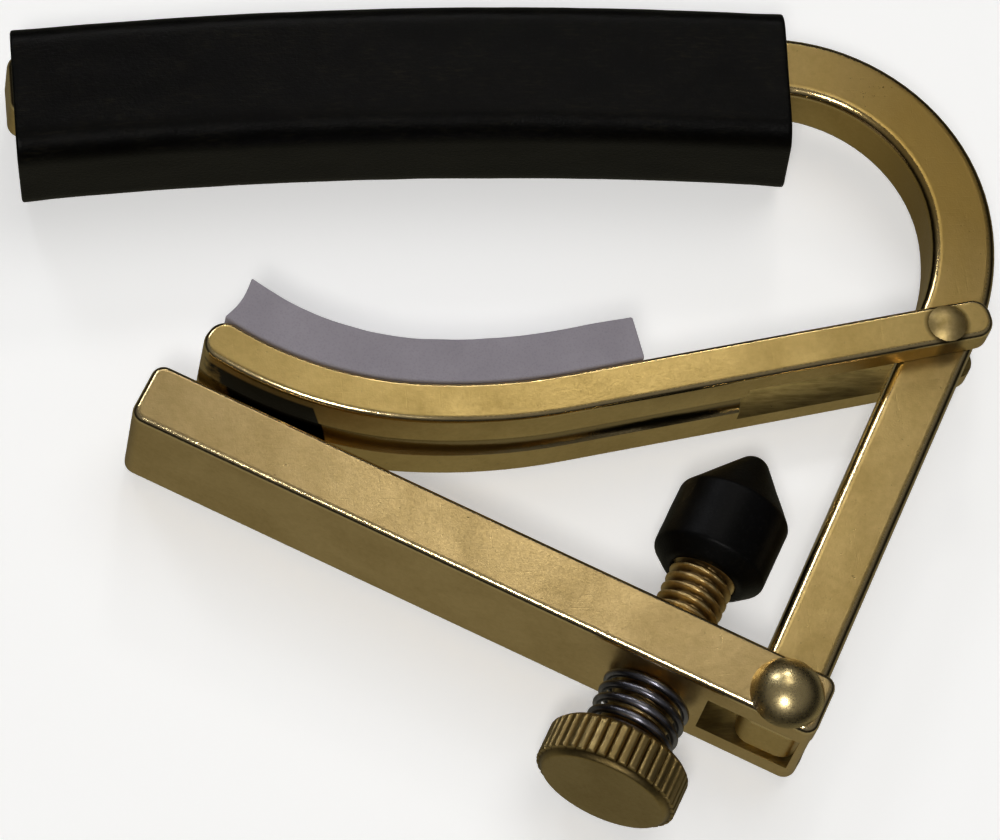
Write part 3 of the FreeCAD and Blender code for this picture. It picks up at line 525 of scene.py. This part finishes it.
def make_sleeve():
    under, width, corner, lip = SLEEVE_UNDER, SLEEVE_WIDTH, SLEEVE_CORNER, SLEEVE_LIP
    r_in = ARCH_RADIUS - BAR - under
    half = width / 2
    height = ARCH_RADIUS + SLEEVE_OVER - r_in

    def loop_point(k, count):
        """Outer outline of the section as (height share from 0 at the pad side, z)."""
        straight_w, straight_h = width - 2 * corner, height - 2 * corner
        quarter = math.pi * corner / 2
        lengths = [straight_w, quarter, straight_h, quarter] * 2
        total = sum(lengths)
        d = (k / count) * total
        # starts at the top face's front end and runs round through the back
        spots = [(height, half - corner, 0, -1), None, (height - corner, -half, -1, 0), None,
                 (0.0, -half + corner, 0, 1), None, (corner, half, 1, 0), None]
        centres = [None, (height - corner, -half + corner, 90, 180), None, (corner, -half + corner, 180, 270),
                   None, (corner, half - corner, 270, 360), None, (height - corner, half - corner, 0, 90)]
        for index, length in enumerate(lengths):
            if d <= length or index == 7:
                if spots[index]:
                    h, z, dh, dz = spots[index]
                    return h + dh * d, z + dz * d
                ch, cz, a, b = centres[index]
                t = math.radians(a + (b - a) * d / length)
                # angle 0 faces the front (+z), 90 faces the top
                return ch + corner * math.sin(t), cz + corner * math.cos(t)
            d -= length

    around = 96
    stations = [0.0, 0.06, 0.13, lip, 0.4, 0.8] + [1.2 + 0.55 * k for k in range(100)]
    length = SLEEVE_RIGHT_TOP - SLEEVE_LEFT_TOP
    stations = [s for s in stations if s < length / 2]
    stations = stations + [length - s for s in reversed(stations)]
    verts, uvs, faces, rings = [], [], [], []

    def x_at(s, share, z):
        """x at a distance s along the sleeve, for a point at a share of the height, 1 at the top, and at z."""
        left = SLEEVE_LEFT_LOW + (SLEEVE_LEFT_TOP - SLEEVE_LEFT_LOW) * share
        right = SLEEVE_RIGHT_LOW + (SLEEVE_RIGHT_TOP - SLEEVE_RIGHT_LOW) * share
        return left + (right - left) * s / length + SLEEVE_SKEW * (half - z) / width

    def radius_at(s, h):
        """Distance from the arch's centre; the underside leans a little along the sleeve."""
        return r_in + h + SLEEVE_UNDER_LEAN * (1 - 2 * s / length) * (1 - h / height)

    for s in stations:
        end = min(s, length - s)
        inset = lip - math.sqrt(max(0.0, lip * lip - (lip - min(end, lip)) ** 2))
        swell = SLEEVE_SWELL * smoothstep(SLEEVE_SWELL_REACH, 0.0, end)
        ring = []
        for k in range(around):
            h, z = loop_point(k, around)
            ch, cz = h - height / 2, z
            reach = math.hypot(ch, cz)
            base = wobble((s, h * 2.0, z * 2.0), 5.5, 3.1) * 0.045 + wobble((s, h, z), 1.7, 8.4) * 0.012
            push = swell - inset + base
            h2, z2 = h + ch / reach * push, z + cz / reach * push
            ring.append(len(verts))
            verts.append(arch_point(radius_at(s, h2), x_at(s, h2 / height, z2), z2))
            uvs.append((s / length * 6.0, k / around))
        rings.append(ring)
    for a, b in zip(rings, rings[1:]):
        for k in range(around):
            n = (k + 1) % around
            faces.append((a[k], b[k], b[n], a[n]))
    # the square way for the bar
    way = BAR / 2 + WAY_CLEARANCE
    mid = under + BAR / 2

    def way_point(k):
        h, z = loop_point(k, around)
        ch, cz = h - mid, z
        grow = way / max(abs(ch), abs(cz))
        return mid + ch * grow, cz * grow

    inner = []
    for s in (0.0, WAY_DEPTH, length - WAY_DEPTH, length):
        ring = []
        for k in range(around):
            h, z = way_point(k)
            ring.append(len(verts))
            verts.append(arch_point(r_in + h, x_at(s, h / height, z), z))
            uvs.append((s / length * 6.0, k / around))
        inner.append(ring)
    for a, b in zip(inner, inner[1:]):
        for k in range(around):
            n = (k + 1) % around
            faces.append((a[k], a[n], b[n], b[k]))
    for outer, hole in ((rings[0], inner[0]), (rings[-1], inner[-1])):
        for k in range(around):
            n = (k + 1) % around
            faces.append((outer[k], outer[n], hole[n], hole[k]))
    obj = new_object("sleeve_rubber_tube", verts, faces, uvs=uvs)
    fix_normals(obj)
    sharp_by_angle(obj, 50)
    give(obj, rubber())
    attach(obj, "frame")
    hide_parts("bar_sleeve")
    return obj


make_sleeve()


# ------------------------------------------------------------------ pad on the arm
def on_circle(centre, radius, degrees):
    a = math.radians(degrees)
    return Vector((centre.x + radius * math.cos(a), centre.y + radius * math.sin(a), 0))


ARM_CENTRE = Vector((-2.1, 42.82, 0))
ARM_TOP = 41.87
ARM_RISE = 8.95
ARM_SLOPE = -90 + ARM_RISE
ARM_TURN = -90 - 5.34
ARM_LEFT = 25.5
LEFT_CENTRE = on_circle(ARM_CENTRE, ARM_TOP - ARM_LEFT, ARM_TURN)
PAD_THICK, PAD_WIDTH, PAD_RIGHT_X = 3.4, 9.1, 10.1
PAD_GLUE, PAD_ROUND, PAD_BOW, PAD_BOW_REACH = 0.03, 0.16, 0.30, 1.6
PAD_LEFT = 20.2
PAD_LOW_START, PAD_HIGH_START = -129.0, -132.5
PAD_LEFT_CENTRE = on_circle(ARM_CENTRE, ARM_TOP - PAD_THICK - PAD_LEFT, ARM_TURN)


def pad_curves():
    """The pad's lower and upper lines as lists of points, both with the same count, from left to right."""
    tip_steps, hollow_steps, straight_steps = 48, 40, 24
    low, high = [], []
    for k in range(tip_steps + 1):
        t = k / tip_steps
        low_angle = PAD_LOW_START + (ARM_TURN - PAD_LOW_START) * t
        high_angle = PAD_HIGH_START + (ARM_TURN - PAD_HIGH_START) * t
        low.append(on_circle(LEFT_CENTRE, ARM_LEFT - PAD_GLUE, low_angle))
        high.append(on_circle(PAD_LEFT_CENTRE, PAD_LEFT, high_angle))
    for k in range(1, hollow_steps + 1):
        angle = ARM_TURN + (ARM_SLOPE - ARM_TURN) * k / hollow_steps
        low.append(on_circle(ARM_CENTRE, ARM_TOP - PAD_GLUE, angle))
        high.append(on_circle(ARM_CENTRE, ARM_TOP - PAD_THICK, angle))
    slope = math.radians(ARM_RISE)
    along = Vector((math.cos(slope), math.sin(slope), 0))
    reach = (PAD_RIGHT_X - on_circle(ARM_CENTRE, ARM_TOP, ARM_SLOPE).x) / along.x
    start_low, start_high = low[-1].copy(), high[-1].copy()
    for k in range(1, straight_steps + 1):
        low.append(start_low + along * (reach * k / straight_steps))
        high.append(start_high + along * (reach * k / straight_steps))
    return low, high


def make_pad():
    low, high = pad_curves()
    marks = [0.0]
    for a, b, c, d in zip(low, low[1:], high, high[1:]):
        marks.append(marks[-1] + ((b - a).length + (d - c).length) / 2)
    length = marks[-1]

    def spot(u, v):
        """The point at a distance u along the pad and a height v above the glue line."""
        u = max(0.0, min(length, u))
        k = min(len(marks) - 2, int(np.searchsorted(marks, u, side="right")) - 1)
        t = (u - marks[k]) / (marks[k + 1] - marks[k])
        a, b = low[k].lerp(low[k + 1], t), high[k].lerp(high[k + 1], t)
        return a.lerp(b, v / thick)

    round_by, edge = PAD_ROUND, 0.28
    thick, half = PAD_THICK - PAD_GLUE, PAD_WIDTH / 2

    def lines(size, step):
        """Places of the grid's lines across a size, closer together near both edges."""
        near = [0.0, 0.05, 0.1, round_by, edge]
        count = max(2, math.ceil((size - 2 * edge) / step))
        middle = [edge + (size - 2 * edge) * k / count for k in range(1, count)]
        return near + middle + [size - v for v in reversed(near)]

    us, vs, ws = lines(length, 0.45), lines(thick, 0.42), lines(2 * half, 0.5)
    verts, faces, index = [], [], {}

    def vertex(i, j, k):
        key = (i, j, k)
        if key not in index:
            p = np.array([us[i], vs[j], ws[k]])
            size = np.array([length, thick, 2 * half])
            core = np.clip(p, round_by, size - round_by)
            out = p - core
            far = np.linalg.norm(out)
            if far > 1e-9:
                p = core + out / far * round_by
            u, v, w = p
            # the left end is cut with a slight hollow, and every face has a soft unevenness
            hollow = math.sin(math.pi * min(1.0, max(0.0, v / thick)))
            bow = PAD_BOW * hollow * smoothstep(PAD_BOW_REACH, 0.0, u)
            soft = wobble((u, v * 1.5, w), 2.6, 5.2) * 0.035 + wobble((u, v, w), 0.9, 1.3) * 0.010
            if v > round_by:
                v += soft
            if w < round_by * 1.5:
                w -= soft * 0.6
            if w > 2 * half - round_by * 1.5:
                w += soft * 0.6
            place = spot(u + bow, v) + Vector((0, 0, w - half))
            index[key] = len(verts)
            verts.append((place + DATUM) * MM)
        return index[key]

    nu, nv, nw = len(us) - 1, len(vs) - 1, len(ws) - 1

    def quad(corners):
        faces.append([vertex(*q) for q in corners])

    for i in range(nu):
        for j in range(nv):
            for k in (0, nw):
                quad(((i, j, k), (i + 1, j, k), (i + 1, j + 1, k), (i, j + 1, k)))
    for i in range(nu):
        for k in range(nw):
            for j in (0, nv):
                quad(((i, j, k), (i + 1, j, k), (i + 1, j, k + 1), (i, j, k + 1)))
    for j in range(nv):
        for k in range(nw):
            for i in (0, nu):
                quad(((i, j, k), (i, j + 1, k), (i, j + 1, k + 1), (i, j, k + 1)))
    obj = new_object("arm_pad_rubber", verts, faces)
    fix_normals(obj)
    give(obj, pad_foam())
    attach(obj, "arm")
    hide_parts("arm_pad")
    return obj


make_pad()


# ------------------------------------------------------------------ adjusting screw, with its thread and knob
SCREW_R = 2.415
THREAD_DEPTH = 0.50
KNOB_R = 5.2
KNOB_IN, KNOB_OUT = -7.2, -10.7
KNURLS = 40
GROOVE = 0.30
KNOB_BAND, KNOB_STEP, KNOB_RIM, KNOB_FACE_INSET = 0.42, 0.05, 0.45, 0.62
SCREW_END, PLAIN_FROM, SCREW_CHAMFER = 12.55, 8.0, 0.5


def thread_share(phase):
    """Height of the thread at a phase of one turn, from 0 at the root to 1 at the crest."""
    p = phase % 1.0
    rise = smoothstep(0.10, 0.42, p)
    fall = 1 - smoothstep(0.58, 0.90, p)
    return min(rise, fall)


def make_screw():
    around = KNURLS * 8
    side_start = KNOB_OUT + KNOB_BAND
    outline = [
        (0.0, KNOB_OUT), (KNOB_R - KNOB_FACE_INSET, KNOB_OUT), (KNOB_R - GROOVE, side_start),
        (KNOB_R - 0.03, side_start + KNOB_STEP), (KNOB_R, side_start + 3 * KNOB_STEP),
        (KNOB_R, KNOB_IN - KNOB_RIM), (KNOB_R - KNOB_RIM, KNOB_IN), (SCREW_R - THREAD_DEPTH, KNOB_IN),
    ]
    knob = subdivided(rounded_profile(outline, 0.12, 3), 0.24)
    step = SCREW_PITCH / 12
    count = int((PLAIN_FROM - KNOB_IN) / step)
    shank = [(SCREW_R, KNOB_IN + 0.02 + step * k) for k in range(1, count)]
    # inside the cap the screw is a plain pin
    shank += [(SCREW_R, PLAIN_FROM + 0.45 * k) for k in range(11)]
    tip = [(SCREW_R - 0.55, SCREW_END), (0.0, SCREW_END)]
    knob_rows = len(knob)
    last_shank = knob_rows + len(shank)

    def radius_of(r, turn, s, row):
        if row < knob_rows:
            tooth = abs(((turn * KNURLS / (2 * math.pi)) % 1.0) - 0.5) * 2  # 1 in a groove, 0 on a crest
            groove = smoothstep(0.62, 0.96, tooth)
            dent = 0.035 * wobble((KNOB_R * math.cos(turn), KNOB_R * math.sin(turn), s), 0.7, 2.2)
            return min(r, KNOB_R - GROOVE * groove + dent)
        if row < last_shank:
            share = thread_share(s / SCREW_PITCH - turn / (2 * math.pi))
            share *= smoothstep(KNOB_IN, KNOB_IN + 0.6, s)
            share = max(share, smoothstep(PLAIN_FROM - 0.4, PLAIN_FROM, s))
            chamfered = min(1.0, (SCREW_END - s) / SCREW_CHAMFER)
            return SCREW_R - THREAD_DEPTH + THREAD_DEPTH * share * chamfered
        return r

    obj = lathe("knurled_thumb_screw", knob + shank + tip, around, radius_of)
    sharp_by_angle(obj, 52)
    give(obj, brass_screw)
    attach(obj, "screw")
    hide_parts("adjusting_screw")
    return obj


make_screw()


# ------------------------------------------------------------------ cap on the screw's tip
CAP_R, CAP_BORE, CAP_MOUTH = 4.2, 2.445, 3.05
CAP_START, CAP_FLARE_END, CAP_BORE_END, CAP_SHOULDER, CAP_END = 7.40, 8.5, 12.7, 13.3, 17.84
CAP_NOSE = 1.35
CAP_PLAIN_R, CAP_PLAIN_END = 2.6, 12.75


def make_cap():
    ball, nose_steps = CAP_END - CAP_NOSE, 12
    shoulder = Vector((CAP_R, CAP_SHOULDER)) - Vector((0, ball))
    touch = math.atan2(shoulder.y, shoulder.x) + math.acos(CAP_NOSE / shoulder.length)
    body = [
        (CAP_BORE, CAP_BORE_END), (CAP_BORE, CAP_START + 0.02), (CAP_MOUTH, CAP_START),
        (CAP_R, CAP_FLARE_END), (CAP_R, CAP_SHOULDER),
        (CAP_NOSE * math.cos(touch), ball + CAP_NOSE * math.sin(touch)),
    ]
    rows = rounded_profile(body, 0.2, 4)
    for k in range(1, nose_steps + 1):
        a = touch + (math.pi / 2 - touch) * k / nose_steps
        rows.append((CAP_NOSE * math.cos(a) if k < nose_steps else 0.0, ball + CAP_NOSE * math.sin(a)))
    rows = subdivided([(0.0, CAP_BORE_END)] + rows, 0.3)

    def radius_of(r, turn, s, row):
        if r < CAP_PLAIN_R and s < CAP_PLAIN_END:
            return r
        return r + 0.02 * wobble((r * math.cos(turn), r * math.sin(turn), s), 1.4, 7.7)

    obj = lathe("screw_tip_cap_moulding", rows, 96, radius_of)
    sharp_by_angle(obj, 60)
    give(obj, cap_plastic())
    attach(obj, "tip")
    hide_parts("screw_tip_cap")
    return obj


make_cap()


# ------------------------------------------------------------------ spring
SPRING_WIRE, SPRING_R, SPRING_TURNS, SPRING_GAP, SPRING_START = 0.31, 3.02, 4.6, 0.04, 0.9


def make_spring():
    wire, radius, turns = SPRING_WIRE, SPRING_R, SPRING_TURNS
    start, end = KNOB_IN + wire + SPRING_GAP, LEVER_LOW - wire - SPRING_GAP
    height = end - start
    per_turn = 72
    steps = int(turns * per_turn)
    # the coils lie a little closer together at both ends
    density = [0.86 + 0.20 * math.sin(math.pi * k / steps) for k in range(steps + 1)]
    rise = np.concatenate([[0.0], np.cumsum([(a + b) / 2 for a, b in zip(density, density[1:])])])
    rise = rise / rise[-1] * height
    ring_count = 18
    verts, uvs, faces, rings = [], [], [], []
    path = []
    for k in range(steps + 1):
        a = 2 * math.pi * k / per_turn + SPRING_START
        path.append(Vector((radius * math.cos(a), radius * math.sin(a), start + rise[k])))
    for k, p in enumerate(path):
        ahead, back = path[min(k + 1, steps)], path[max(k - 1, 0)]
        tangent = (ahead - back).normalized()
        outward = Vector((p.x, p.y, 0)).normalized()
        side = tangent.cross(outward).normalized()
        outward = side.cross(tangent).normalized()
        ring = []
        for j in range(ring_count):
            t = 2 * math.pi * j / ring_count
            q = p + outward * (wire * math.cos(t)) + side * (wire * math.sin(t))
            ring.append(len(verts))
            place = SCREW_ORIGIN + LEVER_ALONG * q.x + Vector((0, 0, 1)) * q.y + SCREW_AXIS * q.z
            verts.append(place * MM)
            uvs.append((k / 12, j / ring_count))
        rings.append(ring)
    for a, b in zip(rings, rings[1:]):
        for j in range(ring_count):
            n = (j + 1) % ring_count
            faces.append((a[j], b[j], b[n], a[n]))
    faces.append(tuple(rings[0]))
    faces.append(tuple(reversed(rings[-1])))
    obj = new_object("coil_spring_wire", verts, faces, uvs=uvs)
    fix_normals(obj)
    sharp_by_angle(obj, 50)
    give(obj, spring_steel())
    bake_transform(obj)
    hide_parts("screw_spring")
    return obj


make_spring()


# ------------------------------------------------------------------ stage: floor and backdrop
FLOOR_HALF, FLOOR_DROP, FLOOR_GLOW = 4.0, 0.00002, 0.42
WALL_RADIUS, WALL_LOW, WALL_HIGH, WALL_SIDES = 3.9, -0.001, 3.0, 64


def stage_material():
    s = Shader("stage_white")
    s.bsdf.inputs["Base Color"].default_value = (0.86, 0.86, 0.86, 1)
    s.bsdf.inputs["Emission Color"].default_value = (1, 1, 1, 1)
    s.bsdf.inputs["Emission Strength"].default_value = FLOOR_GLOW
    s.bsdf.inputs["Roughness"].default_value = 0.95
    s.bsdf.inputs["Specular IOR Level"].default_value = 0.0
    return s.mat


def make_stage():
    corners = [(x * FLOOR_HALF, y * FLOOR_HALF, -FLOOR_DROP) for x, y in ((-1, -1), (1, -1), (1, 1), (-1, 1))]
    floor = new_object("stage_floor", corners, [(0, 1, 2, 3)], smooth=False)
    give(floor, stage_material())
    floor.visible_glossy = False
    count = WALL_SIDES
    angles = [2 * math.pi * k / count for k in range(count)]
    ring_low = [(WALL_RADIUS * math.cos(a), WALL_RADIUS * math.sin(a), WALL_LOW) for a in angles]
    ring_high = [(x, y, WALL_HIGH) for x, y, z in ring_low]
    faces = [(k, (k + 1) % count, count + (k + 1) % count, count + k) for k in range(count)]
    wall = new_object("stage_backdrop", ring_low + ring_high, faces, smooth=False)
    glow = bpy.data.materials.new("stage_backdrop_white")
    glow.use_nodes = True
    tree = glow.node_tree
    tree.nodes.clear()
    out = tree.nodes.new("ShaderNodeOutputMaterial")
    emit = tree.nodes.new("ShaderNodeEmission")
    emit.inputs["Strength"].default_value = 1.0
    tree.links.new(emit.outputs[0], out.inputs["Surface"])
    give(wall, glow)
    wall.visible_glossy = False
    wall.visible_diffuse = False
    wall.visible_shadow = False


make_stage()

# ------------------------------------------------------------------ studio light
world = bpy.data.worlds.new("studio")
scene.world = world
world.use_nodes = True
tree = world.node_tree
tree.nodes.clear()


def world_node(kind, **settings):
    node = tree.nodes.new(kind)
    for key, value in settings.items():
        setattr(node, key, value)
    return node


def world_map(value, a, b, c, d):
    node = world_node("ShaderNodeMapRange", clamp=True, interpolation_type="SMOOTHSTEP")
    tree.links.new(value, node.inputs["Value"])
    for key, v in zip(("From Min", "From Max", "To Min", "To Max"), (a, b, c, d)):
        node.inputs[key].default_value = v
    return node.outputs["Result"]


def world_math(op, a, b):
    node = world_node("ShaderNodeMath", operation=op)
    for socket, value in zip(node.inputs, (a, b)):
        if hasattr(value, "is_output"):
            tree.links.new(value, socket)
        else:
            socket.default_value = value
    return node.outputs[0]


direction = world_node("ShaderNodeSeparateXYZ")
tree.links.new(world_node("ShaderNodeTexCoord").outputs["Generated"], direction.inputs[0])
SKY, HORIZON, LOW_FRONT, LOW_BACK = 0.128, 0.008, 0.22, 0.12
SKY_TINT, LOW_TINT = (1.0, 0.975, 0.925, 1), (1.0, 0.95, 0.68, 1)
height = direction.outputs["Z"]
toward_back = direction.outputs["Y"]
upper = world_map(height, 0.18, 0.72, HORIZON, SKY)
low_side = world_map(toward_back, -0.55, 0.35, LOW_FRONT, LOW_BACK)
below = world_map(height, -0.10, -0.45, 0.0, 1.0)
lower = world_math("MULTIPLY", low_side, below)
total = world_math("ADD", upper, lower)
background = world_node("ShaderNodeBackground")
tint = world_node("ShaderNodeMix", data_type="RGBA")
tree.links.new(below, tint.inputs["Factor"])
tint.inputs[6].default_value = SKY_TINT
tint.inputs[7].default_value = LOW_TINT
tree.links.new(tint.outputs[2], background.inputs["Color"])
tree.links.new(total, background.inputs["Strength"])
tree.links.new(background.outputs[0], world_node("ShaderNodeOutputWorld").inputs["Surface"])

MIDDLE = DATUM * MM


def area_light(name, toward, distance, size, watts, colour=(1, 1, 1)):
    lamp = bpy.data.lights.new(name, "AREA")
    lamp.shape = "DISK"
    lamp.size = size
    lamp.energy = watts
    lamp.color = colour
    obj = bpy.data.objects.new(name, lamp)
    scene.collection.objects.link(obj)
    way = Vector(toward).normalized()
    obj.location = MIDDLE + way * distance
    obj.rotation_mode = "QUATERNION"
    obj.rotation_quaternion = (-way).to_track_quat("-Z", "Y")
    return obj


WARM, WARM_WHITE, COOL, GLOW = (1.0, 0.98, 0.94), (1.0, 0.98, 0.95), (0.93, 0.95, 1.0), (1.0, 0.96, 0.86)
area_light("key_front", (-0.22, -0.50, 0.86), distance=0.9, size=0.16, watts=2.2, colour=WARM)
area_light("rim_back", (0.12, 0.78, 0.62), distance=0.9, size=0.12, watts=0.55, colour=WARM_WHITE)
area_light("rim_left", (-0.34, 0.74, 0.58), distance=0.9, size=0.20, watts=0.7, colour=COOL)
top_fill = area_light("top_fill", (0.25, 0.35, 0.90), distance=1.2, size=0.9, watts=3.0)
top_fill.visible_glossy = False
face_glow = area_light("face_glow", (0.205, 0.370, 0.896), distance=0.15, size=0.05, watts=0.0118, colour=GLOW)
face_glow.visible_diffuse = False

# ------------------------------------------------------------------ camera
LENS, SENSOR, CAMERA_DISTANCE = 168.05, 36.0, 0.33369
CLIP_NEAR, CLIP_FAR = 0.01, 20.0
LOOK = Vector((0.17131, 0.40921, -0.89621)).normalized()
RIGHT = Vector((0.98456, -0.10434, 0.14056)).normalized()
UP = RIGHT.cross(LOOK).normalized()

camera = bpy.data.cameras.new("camera")
camera.lens = LENS
camera.sensor_width = SENSOR
camera.clip_start, camera.clip_end = CLIP_NEAR, CLIP_FAR
camera_object = bpy.data.objects.new("camera", camera)
scene.collection.objects.link(camera_object)
turn = Matrix((RIGHT, UP, -LOOK)).transposed().to_4x4()
camera_object.matrix_world = Matrix.Translation(MIDDLE - LOOK * CAMERA_DISTANCE) @ turn
scene.camera = camera_object

scene.view_settings.view_transform = "Standard"
scene.view_settings.look = "None"
scene.view_settings.exposure = 0.0
scene.view_settings.gamma = 1.0
